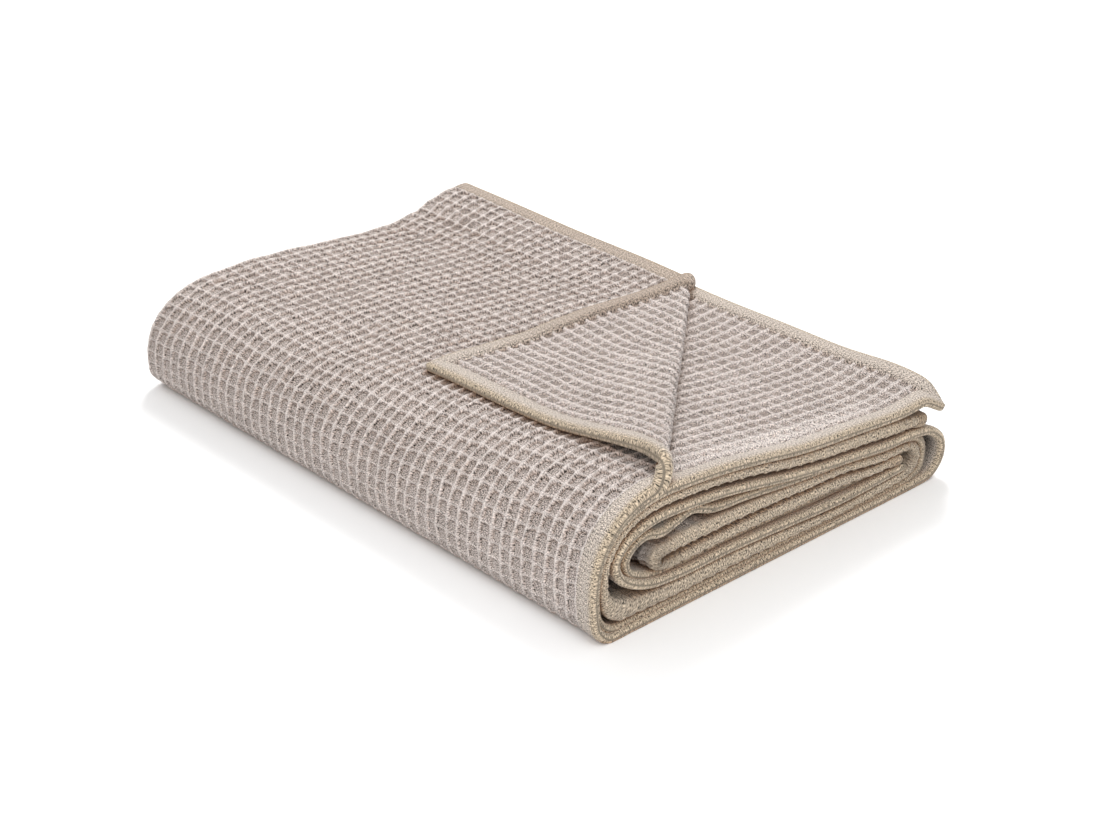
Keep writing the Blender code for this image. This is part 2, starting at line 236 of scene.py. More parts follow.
def place(x, v, ply):
    # the middle of the cloth at x, v along the roll, in a ply from 0 to 3
    x = np.asarray(x, float) + 0.0 * v
    y = np.interp(v, pathLength, paths[ply][:, 0])
    z = np.interp(v, pathLength, paths[ply][:, 1])
    if ply == 1:
        nearEnd = np.exp(-((x / droop["alongX"]) ** 2))
        behind = smooth((y - droop["fromY"]) / (droop["toY"] - droop["fromY"]))
        beside = np.exp(-(((x - swell["x"]) / swell["alongX"]) ** 2))
        lifted = smooth((y - swell["fromY"]) / (swell["toY"] - swell["fromY"]))
        rise = swell["height"] * beside * lifted - droop["depth"] * nearEnd * behind
        z = z + np.where(v < sectionLength[2], rise, 0)
    base = roll["restGap"]
    z = base + (z - base) * heightFactor(x, y) * (1.0 + softUneven(x, y))
    pull = threePoint(x, 1.0, 1.0, roll["pull"])
    y = np.where(y > roll["pullFrom"], roll["pullFrom"] + (y - roll["pullFrom"]) * pull, y)
    return np.stack([x, y, z], axis=-1)


def foldX(name, v):
    x = endAt(name, v)
    y = np.interp(v, pathLength, paths[0][:, 0])
    out = smooth((y - rearCorner["fromY"]) / (rearCorner["toY"] - rearCorner["fromY"]))
    return x - np.where(v < sectionLength[topSections - 1], rearCorner["reach"] * out, 0.0)


# the corner of the first ply, creased and laid back
turnedCorner = {
    "alongRearHem": 309.0,
    "alongSideHem": 350.0,
    "rearReach": 4.0,
    "sideReach": 5.5,
    "rearHeight": 5.6,
    "sideHeight": 16.0,
    "hemBow": 11.0,
    "hemBowWithin": 120.0,
    "tip": (-290.0, 328.0),
    "lying": 5.4,
    "rearSettling": 30.0,
    "sideSettling": 130.0,
}


def creaseLine():
    start = np.array([0.0, turnedCorner["alongSideHem"]])
    end = np.array([-turnedCorner["alongRearHem"], 0.0])
    length = float(np.linalg.norm(end - start))
    along = (end - start) / length
    out = np.array([-along[1], along[0]])
    if out @ -start < 0:
        out = -out
    return start, along, out, length


def beyondCrease(x, v):
    start, _, out, _ = creaseLine()
    return (x - start[0]) * out[0] + (v - start[1]) * out[1]


def turnedBack(x, v):
    start, along, out, length = creaseLine()
    c = turnedCorner
    t = (x - start[0]) * along[0] + (v - start[1]) * along[1]
    d = (x - start[0]) * out[0] + (v - start[1]) * out[1]

    def rollSize(t):
        share = np.clip(t / length, 0.0, 1.0)
        reach = c["sideReach"] + (c["rearReach"] - c["sideReach"]) * share
        height = c["sideHeight"] + (c["rearHeight"] - c["sideHeight"]) * share
        return reach, height, (reach + height / 2) / 2

    reach, height, radius = rollSize(t)
    toRear = np.clip(t / length, 0, 1)
    settling = c["sideSettling"] + (c["rearSettling"] - c["sideSettling"]) * toRear
    cornerT, cornerD = float(-start @ along), float(-start @ out)
    tip = np.array(c["tip"]) - start
    turn = np.clip(d / radius, 0.0, math.pi)
    past = d - math.pi * radius
    full = cornerD - math.pi * float(rollSize(cornerT)[2])
    s = np.where(past <= 0, reach * np.sin(turn), past * (tip @ out) / full)
    lift = np.where(
        past <= 0,
        height * (1 - np.cos(turn)) / 2,
        height + (c["lying"] - height) * smooth(past / settling),
    )
    halfRoll = math.pi * radius / 2
    swing = np.maximum(d - halfRoll, 0.0) / np.maximum(cornerD - halfRoll, 1.0)
    t = t + (tip @ along - cornerT) * swing
    atX = start[0] + along[0] * t + out[0] * s
    atV = start[1] + along[1] * t + out[1] * s
    atV = atV - c["hemBow"] * np.exp(-((t / c["hemBowWithin"]) ** 2)) * smooth(d / 45.0)
    here = place(atX, atV, 0)
    left, ahead = place(atX - 2.0, atV, 0), place(atX, atV + 2.0, 0)
    normal = unit(np.cross(left - here, ahead - here))
    return here + normal * lift[..., None]


# the panel's lines: each waffle cell gets eight lines, closer together at its ridges
waffle = {
    "across": 12.2,
    "down": 13.6,
    "steps": (0.0, 0.06, 0.13, 0.26, 0.5, 0.74, 0.87, 0.94),
    "crest": 2.5,
    "depth": 2.7,
}
hem = {"width": 19.5, "edge": 3.8, "stitchAt": 17.6, "groove": 0.7, "corner": 8.0}
rimSteps = [hem["edge"] * (1 - math.cos(math.radians(a))) for a in (0, 18, 36, 54, 72, 90)]
hemLines = rimSteps + [5.2, 7.5, 10.0, 12.5, 14.8, 16.5, 17.6, 18.6]
plyLength = 578.0


def lineSet(pitch, last):
    # fine lines from a hem inwards, and how fine each one is: 0 is kept everywhere
    lines = [(a, 0) for a in hemLines]
    k = 0
    while hem["width"] + pitch * k < last:
        for i, step in enumerate(waffle["steps"]):
            at = hem["width"] + pitch * (k + step)
            if at < last - 0.3:
                level = 0 if i in (0, 4) else (1 if i in (2, 6) else 2)
                lines.append((at, level))
        k += 1
    return lines


downLines = lineSet(waffle["down"], rollEnd - 3.5)
downLines += [(rollEnd - a, 0) for a in reversed(rimSteps)]
v = np.array([a for a, _ in downLines])
vLevel = np.array([n for _, n in downLines])
loopLength = {"outer": 27.3, "inner": 10.5, "side": 10.5}


def acrossLines():
    # columns of the flat panel: kind, ply, distance from the hemmed end or share of the fold
    fine = lineSet(waffle["across"], plyLength + loopLength["outer"])
    columns = []
    for a, level in fine:
        if a <= plyLength:
            columns.append(("ply", 0, a, a, level))
        else:
            columns.append(("outer", 0, (a - plyLength) / loopLength["outer"], a, level))
    at = plyLength + loopLength["outer"]
    coarse = [570, 555, 520, 470, 410, 350, 290, 230, 170, 120, 80]
    coarse += [56, 42, 34, 28, 23, 19, 16, 13, 10, 8]
    for a in coarse:
        columns.append(("ply", 3, a, at + plyLength - a, 0))
    at += plyLength - foldReach["side"] - 4.0
    for i in range(1, 10):
        columns.append(("side", 0, i / 10, at + loopLength["side"] * i / 10, 0))
    at += loopLength["side"]
    for a in reversed(coarse):
        columns.append(("ply", 2, a, at + a, 0))
    at += plyLength
    for i in range(0, 7):
        columns.append(("inner", 0, i / 6, at + loopLength["inner"] * i / 6, 0))
    at += loopLength["inner"]
    last = at + plyLength
    for a in (560, 520, 470, 410, 350):
        columns.append(("ply", 1, a, last - a, 0))
    for a, level in reversed(lineSet(waffle["across"], 332.0)):
        columns.append(("ply", 1, a, last - a, level))
    return columns, last


columns, panelWidth = acrossLines()
u = np.array([c[3] for c in columns])
uLevel = np.array([c[4] for c in columns])
fromHem = np.array([c[3] if c[3] < panelWidth / 2 else panelWidth - c[3] for c in columns])
print("panel lines:", len(u), "by", len(v), "panel", round(panelWidth), "by", round(rollEnd))


random = np.random.default_rng(11)
crossings = random.normal(0.0, 1.0, (3, 140, 240))      # each crossing of the cells lies a little off


def atCrossing(layer, u, v):
    a = np.clip((u - hem["width"]) / waffle["across"] + 4.0, 0, 237.9) + 0.0 * v
    b = np.clip((v - hem["width"]) / waffle["down"] + 4.0, 0, 137.9) + 0.0 * u
    ia, ib = np.floor(a).astype(int), np.floor(b).astype(int)
    fa, fb = smooth(a - ia), smooth(b - ib)
    grid = crossings[layer]
    near = grid[ib, ia] * (1 - fa) + grid[ib, ia + 1] * fa
    far = grid[ib + 1, ia] * (1 - fa) + grid[ib + 1, ia + 1] * fa
    return near * (1 - fb) + far * fb


def softWander(u, v):
    # the weave's lines wander a little from straight
    across = 1.3 * np.sin(v / 61.0 + 0.4) * np.sin(u / 83.0) + 0.9 * np.sin(v / 23.0 + u / 57.0)
    down = 1.6 * np.sin(u / 74.0 + 1.0) * np.cos(v / 92.0) + 1.0 * np.sin(u / 27.0 - v / 49.0)
    across = across + 0.55 * atCrossing(0, u, v)
    down = down + 0.6 * atCrossing(1, u, v)
    inside = smooth((v - 20.0) / 60.0)
    return across * inside, down * inside


def plyX(ply, a, v):
    name = ("firstHem", "secondHem", "sideFold", "sideFold")[ply]
    right = endAt(name, v)
    left = foldX("outerFold" if ply in (0, 3) else "innerFold", v)
    return right + (left - right) * a / plyLength


def roundedCorner(a, v):
    # the panel's two rear corners are sewn a little round
    p, q = np.clip(1.0 - a / hem["corner"], 0, 1), np.clip(1.0 - v / hem["corner"], 0, 1)
    within = (p > 0) & (q > 0)
    atA = np.where(within, hem["corner"] * (1.0 - p * np.sqrt(1.0 - q * q / 2)), a)
    atV = np.where(within, hem["corner"] * (1.0 - q * np.sqrt(1.0 - p * p / 2)), v)
    return atA, atV


def middleOfCloth():
    surface = np.empty((len(v), len(u), 3))
    for i, (kind, ply, a, at, _) in enumerate(columns):
        driftX, driftV = softWander(at, v)
        if kind == "ply":
            near = smooth(a / 60.0)
            if ply != 0:
                near = near * smooth((plyLength - a) / 40.0)
            atA, atV = roundedCorner(a, v) if ply < 2 else (a, v)
            x = plyX(ply, atA, atV) + driftX * near
            line = place(x, np.clip(atV + driftV * smooth(a / 30.0), 0, rollEnd), ply)
            if ply == 0 and a < 340:
                corner = v < 380
                xs, vs = x[corner], atV[corner]
                turned = turnedBack(xs, vs)
                line[corner] = np.where((beyondCrease(xs, vs) > 0)[:, None], turned, line[corner])
        else:
            name = {"outer": "outerFold", "inner": "innerFold", "side": "sideFold"}[kind]
            x = foldX(name, v) if kind != "side" else endAt(name, v) - foldReach["side"]
            pair = {"outer": (0, 3), "inner": (2, 1), "side": (3, 2)}[kind]
            way = 1.0 if kind == "side" else -1.0
            vv = np.clip(v + (driftV if kind == "outer" else 0.0), 0, rollEnd)
            first, second = place(x, vv, pair[0]), place(x, vv, pair[1])
            turn = math.pi * a
            line = first + (second - first) * (1 - math.cos(turn)) / 2
            line[:, 0] += way * foldReach[kind] * math.sin(turn)
        surface[:, i] = line
    return surface


def slope(values, axis):
    # change along an axis, from both neighbours where there are two
    ahead = np.roll(values, -1, axis)
    behind = np.roll(values, 1, axis)
    index = [slice(None)] * values.ndim
    index[axis] = -1
    ahead[tuple(index)] = values[tuple(index)]
    index[axis] = 0
    behind[tuple(index)] = values[tuple(index)]
    return ahead - behind


def normalsOf(surface):
    return unit(np.cross(slope(surface, 1), slope(surface, 0)))


middle = middleOfCloth()
middleNormal = normalsOf(middle)
print("folds laid")

# relief of the cells and hems, on both sides
sideLook = {
    # how far its cells lie over, how square they are, and how light its ridges and floors are; the dark
    # floors are painted shade in the cells
    "face": {"over": 0.0, "square": 3.4, "ridges": 1.0, "shadedFloors": 0.33},
    "back": {"over": 0.5, "square": 2.3, "ridges": 0.90, "shadedFloors": 0.02},
}
# where the cloth differs along the panel: the place and its reach in millimetres, and how much
# near the floor the cells are pressed flatter, and their painted shade is weakened there, standing in
# for light thrown back by the floor
pressedAndFloorLit = {"at": 478.0, "within": 42.0, "flatter": 0.4, "plainer": 0.3}
# at the side fold the cells are flatter and their painted shade weaker, and the fold takes the hem
# edge's khaki as painted warm shade
sideFoldCalm = {"within": 16.0, "flatter": 0.55, "khakiAndWarmShade": 0.95}
curl = {"at": 330.0, "within": 55.0, "plump": 0.60}
turnedRearHem = {"from": 10.0, "over": 200.0, "plump": 0.55}
# a lighter band a little in from the second ply's hem
lighterBandPlace = {"fromHem": 30.0, "width": 13.0, "at": 190.0, "within": 110.0}
cellVaries = random.normal(0.0, 1.0, (260, 160))
# how high each kind of hem stands over the middle of the cloth, from its edge inwards
hemHeights = {
    "from": (3.8, 6.5, 10.0, 14.0, 16.0, 17.6, 19.0),
    ("face", "side"): (3.7, 3.6, 3.0, 2.7, 2.6, 2.5, 2.4),
    ("face", "rear"): (3.1, 3.2, 2.9, 2.7, 2.6, 2.5, 2.4),
    ("back", "side"): (4.4, 4.8, 4.0, 2.9, 2.5, 2.3, 2.3),
    ("back", "rear"): (3.6, 4.1, 4.2, 4.0, 3.7, 3.0, 1.8),
}


def waffleRelief(gridU, gridV, over, square):
    # 1 on the ridges and 0 in the cells
    a = (gridU - hem["width"]) / waffle["across"] + over
    b = (gridV - hem["width"]) / waffle["down"] + over
    x = 2.0 * np.abs(a - np.floor(a) - 0.5)
    y = 2.0 * np.abs(b - np.floor(b) - 0.5) - 0.03
    r = (x**square + np.abs(y)**square) ** (1.0 / square)
    # a cell's floor falls steeply on one side and rises gently on the other, as the floats pull it
    towards = np.where(x > y, a - np.floor(a), 1.0 - (b - np.floor(b)))
    steep = smooth(towards * 2.0 - 0.5)
    relief = smooth((r - (0.63 + 0.18 * steep)) / (0.35 - 0.17 * steep))
    relief = relief * (1.0 - 0.34 * smooth((y - x) / 0.25))
    # the steep foot of each cell: its floor is cut deeper there, and its colour is darkened there as a
    # painted shadow line
    foot = steep * np.exp(-(((r - 0.75) / 0.13) ** 2))
    ia = np.clip(np.floor(a).astype(int), 0, 259)
    ib = np.clip(np.floor(b).astype(int), 0, 159)
    return relief, foot, cellVaries[ia, ib]


def hemProfile(side, s, beside):
    rim = np.sqrt(np.clip(1.0 - (1.0 - np.clip(s / hem["edge"], 0, 1)) ** 2, 0, 1))
    sideBody = np.interp(s, hemHeights["from"], hemHeights[side, "side"])
    rearBody = np.interp(s, hemHeights["from"], hemHeights[side, "rear"])
    groove = hem["groove"] * np.exp(-(((s - hem["stitchAt"]) / 1.0) ** 2))
    return rim * np.where(beside, sideBody, rearBody) - groove


def nearTo(values, at, within):
    return np.exp(-(((values - at) / within) ** 2))


def reliefSides():
    gridU, gridV = np.meshgrid(fromHem, v)
    s = np.minimum(np.minimum(gridU, gridV), rollEnd - gridV)
    beside = (gridU < gridV) & (gridU < rollEnd - gridV)
    inHem = 1.0 - smooth((s - (hem["width"] - 1.4)) / 1.4)
    sideFold = nearTo(gridU, plyLength * 2 + 16.0, sideFoldCalm["within"])
    nearFloorShare = nearTo(gridV, pressedAndFloorLit["at"], pressedAndFloorLit["within"]) * (gridU < plyLength + 40)
    folded = 1.0 - sideFoldCalm["flatter"] * sideFold
    calm = folded * (1.0 - pressedAndFloorLit["flatter"] * nearFloorShare)
    first = (np.arange(len(u)) < len(u) // 2)[None, :]
    firstHem = (gridV < 40) & first
    # the side hem bunches up where the turned corner rolls over, and the rear hem where it is turned
    start, over = turnedRearHem["from"], turnedRearHem["over"]
    turnedHem = (firstHem & ~beside) * smooth((gridU - start) / over)
    atCurl = curl["plump"] * nearTo(gridV, curl["at"], curl["within"]) * beside * first
    sides = []
    for side, look in sideLook.items():
        relief, foot, varies = waffleRelief(gridU, gridV, look["over"], look["square"])
        drop = waffle["depth"] * calm * (1.0 - relief) * (0.9 + 0.25 * foot + 0.13 * varies)
        lifted = 0.16 * atCrossing(2, gridU, gridV) * relief
        height = waffle["crest"] - drop + lifted
        plump = 1.0 + (turnedRearHem["plump"] if side == "back" else 0.0) * turnedHem + atCurl
        height = height * (1 - inHem) + hemProfile(side, s, beside) * inHem * plump
        shadedFloors = look["shadedFloors"]
        # painted shade: the cell floors are darker than the ridges, darkest in a painted shadow line at
        # the steep foot, and each cell differs a little at random; the shade is weaker at the side fold
        # and near the floor
        shade = shadedFloors + (1.0 - shadedFloors) * relief - shadedFloors * foot + 0.05 * varies
        tone = 0.5 + (look["ridges"] * shade - 0.5) * folded * (1.0 - pressedAndFloorLit["plainer"] * nearFloorShare)
        sides.append((height, tone * (1 - inHem) + 0.45 * inHem))
    # the hem's own khaki edge, and the side fold given the same colour as painted warm shade
    khakiAndWarmShade = np.maximum(1.0 - smooth((s - 1.5) / 6.0), sideFoldCalm["khakiAndWarmShade"] * sideFold)
    stitch = nearTo(s, hem["stitchAt"], 1.1)
    second = np.array([c[0] == "ply" and c[1] == 1 for c in columns])[None, :]
    lighterBand = nearTo(gridU, lighterBandPlace["fromHem"], lighterBandPlace["width"]) * second
    lighterBand = lighterBand * nearTo(gridV, lighterBandPlace["at"], lighterBandPlace["within"])
    # the rear hem is duller than the rest, most of all where the corner is turned back
    rear = inHem * ~beside
    dull = (0.8 * rear, rear * (0.1 + 0.9 * smooth(gridU / 220.0) * firstHem))
    both = {"hem": inHem, "sideHem": 1.0 * beside, "edge": khakiAndWarmShade, "stitch": stitch, "lighterBand": lighterBand}
    return sides, {"dull": dull, **{k: (w, w) for k, w in both.items()}}


(faceSide, backSide), shares = reliefSides()
onFloor = smooth((v - 455.0) / 45.0) * (1.0 - smooth((v - 825.0) / 35.0))
firstPly = np.array([c[0] == "ply" and c[1] == 0 or c[0] == "outer" and c[2] < 0.5 for c in columns])
pressed = -1.0 * onFloor[:, None] * firstPly[None, :]
middle = middle + middleNormal * pressed[..., None]
face = middle + middleNormal * faceSide[0][..., None]
back = middle - middleNormal * backSide[0][..., None]
face[..., 2] = np.maximum(face[..., 2], 0.0)      # flat where it lies on the surface
faceNormal = normalsOf(face)
backNormal = -normalsOf(back)
for edge in ((slice(None), 0), (slice(None), -1), (0, slice(None)), (-1, slice(None))):
    both = unit(faceNormal[edge] + backNormal[edge])
    faceNormal[edge] = backNormal[edge] = both
print("cells and hems raised")


# meshes of the one panel, cut where nothing shows so that no piece is too heavy
def toMetres(points):
    centre = np.array([roll["centre"][0], roll["centre"][1], 0.0])
    return (points - centre) * 0.001


def clothPiece(name, rows, cols, farRows, farCols, keep=None, seen="face"):
    # a closed piece of the panel: the seen side, a far side on fewer lines, and walls along its cuts
    nv, nu = len(v), len(u)
    faceId = np.arange(nv * nu).reshape(nv, nu)
    backId = faceId + nv * nu
    backId[:, 0], backId[:, -1] = faceId[:, 0], faceId[:, -1]
    backId[0], backId[-1] = faceId[0], faceId[-1]
    rows, cols = np.asarray(rows), np.asarray(cols)
    nearId, farId = (faceId, backId) if seen == "face" else (backId, faceId)
    polygons = []

    def quads(ids, rr, cc, flip, kept):
        a, b = ids[np.ix_(rr[:-1], cc[:-1])], ids[np.ix_(rr[:-1], cc[1:])]
        c, d = ids[np.ix_(rr[1:], cc[1:])], ids[np.ix_(rr[1:], cc[:-1])]
        q = np.stack([a, b, c, d] if not flip else [a, d, c, b], axis=-1)
        return q[kept] if kept is not None else q.reshape(-1, 4)

    if keep is None:
        # the far side's polygons take in the seen side's lines along the cuts, so the piece is closed
        polygons.append(quads(nearId, rows, cols, seen != "face", None))
        backRows, backCols = np.asarray(farRows), np.asarray(farCols)
        inner = []
        for i in range(len(backRows) - 1):
            r0, r1 = backRows[i], backRows[i + 1]
            for j in range(len(backCols) - 1):
                c0, c1 = backCols[j], backCols[j + 1]
                loop = [farId[r0, c0]]
                if i == 0:
                    loop += [farId[r0, c] for c in cols[(cols > c0) & (cols < c1)]]
                loop.append(farId[r0, c1])
                if j == len(backCols) - 2:
                    loop += [farId[r, c1] for r in rows[(rows > r0) & (rows < r1)]]
                loop.append(farId[r1, c1])
                if i == len(backRows) - 2:
                    loop += [farId[r1, c] for c in cols[(cols > c0) & (cols < c1)][::-1]]
                loop.append(farId[r1, c0])
                if j == 0:
                    loop += [farId[r, c0] for r in rows[(rows > r0) & (rows < r1)][::-1]]
                inner.append(loop[::-1] if seen == "face" else loop)
        walls = []

        def wall(line):
            for p, q in zip(line[:-1], line[1:]):
                if faceId[p] != backId[p] or faceId[q] != backId[q]:
                    walls.append([faceId[q], faceId[p], backId[p], backId[q]])

        wall([(rows[0], c) for c in cols])
        wall([(r, cols[-1]) for r in rows])
        wall([(rows[-1], c) for c in cols[::-1]])
        wall([(r, cols[0]) for r in rows[::-1]])
    else:
        polygons.append(quads(faceId, rows, cols, False, keep))
        polygons.append(quads(backId, rows, cols, True, keep))
        inner, walls = [], []
        grid = np.pad(keep, 1)
        for i, j in zip(*np.nonzero(keep)):
            r0, r1, c0, c1 = rows[i], rows[i + 1], cols[j], cols[j + 1]
            sides = (
                (grid[i, j + 1], (r0, c0), (r0, c1)),
                (grid[i + 1, j + 2], (r0, c1), (r1, c1)),
                (grid[i + 2, j + 1], (r1, c1), (r1, c0)),
                (grid[i + 1, j], (r1, c0), (r0, c0)),
            )
            for neighbour, p, q in sides:
                if not neighbour and (faceId[p] != backId[p] or faceId[q] != backId[q]):
                    walls.append([faceId[q], faceId[p], backId[p], backId[q]])

    walls = [list(dict.fromkeys(w)) for w in walls]
    loops = np.concatenate([p.reshape(-1) for p in polygons] + [np.array(f) for f in inner + walls])
    sizes = [np.full(len(p), 4) for p in polygons] + [np.array([len(f) for f in inner + walls], int)]
    sizes = np.concatenate(sizes)
    used, loops = np.unique(loops, return_inverse=True)
    everyPoint = np.concatenate([face.reshape(-1, 3), back.reshape(-1, 3)])[used]
    everyNormal = np.concatenate([faceNormal.reshape(-1, 3), backNormal.reshape(-1, 3)])[used]
    gridU, gridV = np.meshgrid(u, v)
    flatU = np.concatenate([gridU.ravel(), gridU.ravel() + 3000.0])[used]
    flatV = np.concatenate([gridV.ravel(), gridV.ravel()])[used]

    mesh = bpy.data.meshes.new(name)
    mesh.vertices.add(len(used))
    mesh.vertices.foreach_set("co", toMetres(everyPoint).astype(np.float32).ravel())
    mesh.loops.add(len(loops))
    mesh.loops.foreach_set("vertex_index", loops.astype(np.int32))
    mesh.polygons.add(len(sizes))
    starts = np.concatenate([[0], np.cumsum(sizes)[:-1]])
    mesh.polygons.foreach_set("loop_start", starts.astype(np.int32))
    mesh.update(calc_edges=True)
    mesh.validate()
    mesh.shade_smooth()
    layer = mesh.uv_layers.new(name="clothUV")
    where = np.stack([flatU[loops], flatV[loops]], axis=1) * 0.001
    layer.data.foreach_set("uv", where.astype(np.float32).ravel())
    for label, (onFace, onBack) in {"relief": (faceSide[1], backSide[1]), **shares}.items():
        values = np.concatenate([onFace.ravel(), onBack.ravel()])[used]
        data = mesh.attributes.new(label, "FLOAT", "POINT")
        data.data.foreach_set("value", values.astype(np.float32))
    mesh.normals_split_custom_set_from_vertices(everyNormal.astype(np.float32))
    piece = bpy.data.objects.new(name, mesh)
    bpy.context.scene.collection.objects.link(piece)
    triangles = int((sizes - 2).sum())
    print(name, "triangles", triangles)
    return piece


def lineNear(values, at):
    return int(np.argmin(np.abs(values - at)))


def cellCentre(pitch, cells):
    return hem["width"] + pitch * (cells + 0.5)


cuts = {
    "cornerU": lineNear(u[: len(u) // 2], cellCentre(waffle["across"], 24)),
    "cornerV": lineNear(v, cellCentre(waffle["down"], 25)),
    "frontV": lineNear(v, cellCentre(waffle["down"], 35)),
    "baseV": lineNear(v, cellCentre(waffle["down"], 66)),
}
lastOuter = max(i for i, c in enumerate(columns) if c[0] == "outer")
secondStart = min(i for i, c in enumerate(columns) if c[0] == "ply" and c[1] == 1 and c[2] < 332)


def span(first, last, levels, most):
    index = np.arange(first, last + 1)
    return index[(levels[index] <= most) | (index == first) | (index == last)]


def sparse(index, values, gap, keepFirst=0, keepLast=0):
    # fewer lines for a side that lies against the next ply
    kept = [index[0]]
    for n, i in enumerate(index[1:-1], 1):
        if n <= keepFirst or n >= len(index) - 1 - keepLast or abs(values[i] - values[kept[-1]]) >= gap:
            kept.append(i)
    return np.array(kept + [index[-1]])


def makeCloth():
    cu, cv, fv, bv = cuts["cornerU"], cuts["cornerV"], cuts["frontV"], cuts["baseV"]
    rim = len(hemLines) - 1
    pieces = []
    rows, cols = span(0, cv, vLevel, 2), span(0, cu, uLevel, 2)
    pieces.append(clothPiece("turnedCorner", rows, cols, rows, cols))
    cols = span(cu, lastOuter, uLevel, 2)
    far = sparse(cols, u, 14, 0, 12)
    pieces.append(clothPiece("topCloth", rows, cols, sparse(rows, v, 14, rim), far))
    rows, cols = span(cv, fv, vLevel, 2), span(0, lastOuter, uLevel, 2)
    pieces.append(clothPiece("frontCloth", rows, cols, rows, sparse(cols, u, 26, rim, 12)))
    rows, cols = span(fv, bv, vLevel, 1), span(0, lastOuter, uLevel, 1)
    pieces.append(clothPiece("baseCloth", rows, cols, rows, sparse(cols, u, 26, rim, 8)))
    rows, cols = span(0, cv, vLevel, 2), span(secondStart, len(u) - 1, uLevel, 2)
    far = sparse(cols, u, 14, 0, rim)
    pieces.append(clothPiece("secondPlyCorner", rows, cols, rows, far, seen="back"))
    rows = span(0, len(v) - 1, vLevel, 1)
    outerCols = sparse(span(0, lastOuter, uLevel, 0), u, 48, rim + 5, 9)
    secondCols = sparse(span(secondStart, len(u) - 1, uLevel, 0), u, 48, 0, rim + 5)
    cols = np.concatenate([outerCols, np.arange(lastOuter + 1, secondStart), secondCols])
    r, c = np.meshgrid(rows[:-1], cols[:-1], indexing="ij")
    taken = (c < lastOuter) & (r < bv) | (c >= secondStart) & (r < cv)
    pieces.append(clothPiece("innerPlies", rows, cols, rows, cols, keep=~taken))
    return pieces


clothPieces = makeCloth()
print("cloth made")

# the cotton: colours, yarn and ribs
clothLook = {
    "ridge": (0.586, 0.524, 0.493),
    "paintedShadeCell": (0.230, 0.187, 0.163),
    "hem": (0.424, 0.366, 0.316),
    "edge": (0.378, 0.306, 0.224),
    "lighterBand": (0.600, 0.542, 0.508),
    "dull": (0.76, 0.70, 0.65),
    "paintedShadeTint": (0.66, 0.40, 0.21),      # painted shade: a brown darkening, like light bounced inside the cloth, painted between the plies and in the cells
    "paintedShadeReach": 0.010,
    "openness": 1.22,
    "stitch": 0.18,
    "dashPitch": 0.0041,
    "yarnPitch": 0.0017,
    "yarn": 0.05,
    "ribPitch": 0.0044,
    "rib": 0.04,
    "uneven": 0.22,
    "grain": 880.0,
    "grainOnRidges": 1.1,
    "grainInCells": 4.0,
    "bump": 0.0008,
    "roughness": 0.92,
    "sheen": 0.12,
}


def addNode(tree, kind, inputs=None, **settings):
    made = tree.nodes.new(kind)
    for key, value in settings.items():
        setattr(made, key, value)
    for key, value in (inputs or {}).items():
        if isinstance(value, bpy.types.NodeSocket):
            tree.links.new(value, made.inputs[key])
        else:
            made.inputs[key].default_value = value
    return made


def mathNode(tree, operation, a, b=0.0, clamp=False):
    made = addNode(tree, "ShaderNodeMath", operation=operation, use_clamp=clamp)
    for i, value in enumerate((a, b)):
        if isinstance(value, bpy.types.NodeSocket):
            tree.links.new(value, made.inputs[i])
        else:
            made.inputs[i].default_value = value
    return made.outputs[0]


def mixColour(tree, factor, a, b, blend="MIX"):
    made = addNode(tree, "ShaderNodeMix", data_type="RGBA", blend_type=blend)
    for index, value in ((0, factor), (6, a), (7, b)):
        if isinstance(value, bpy.types.NodeSocket):
            tree.links.new(value, made.inputs[index])
        else:
            made.inputs[index].default_value = value if index == 0 else (*value, 1.0)
    return made.outputs[2]


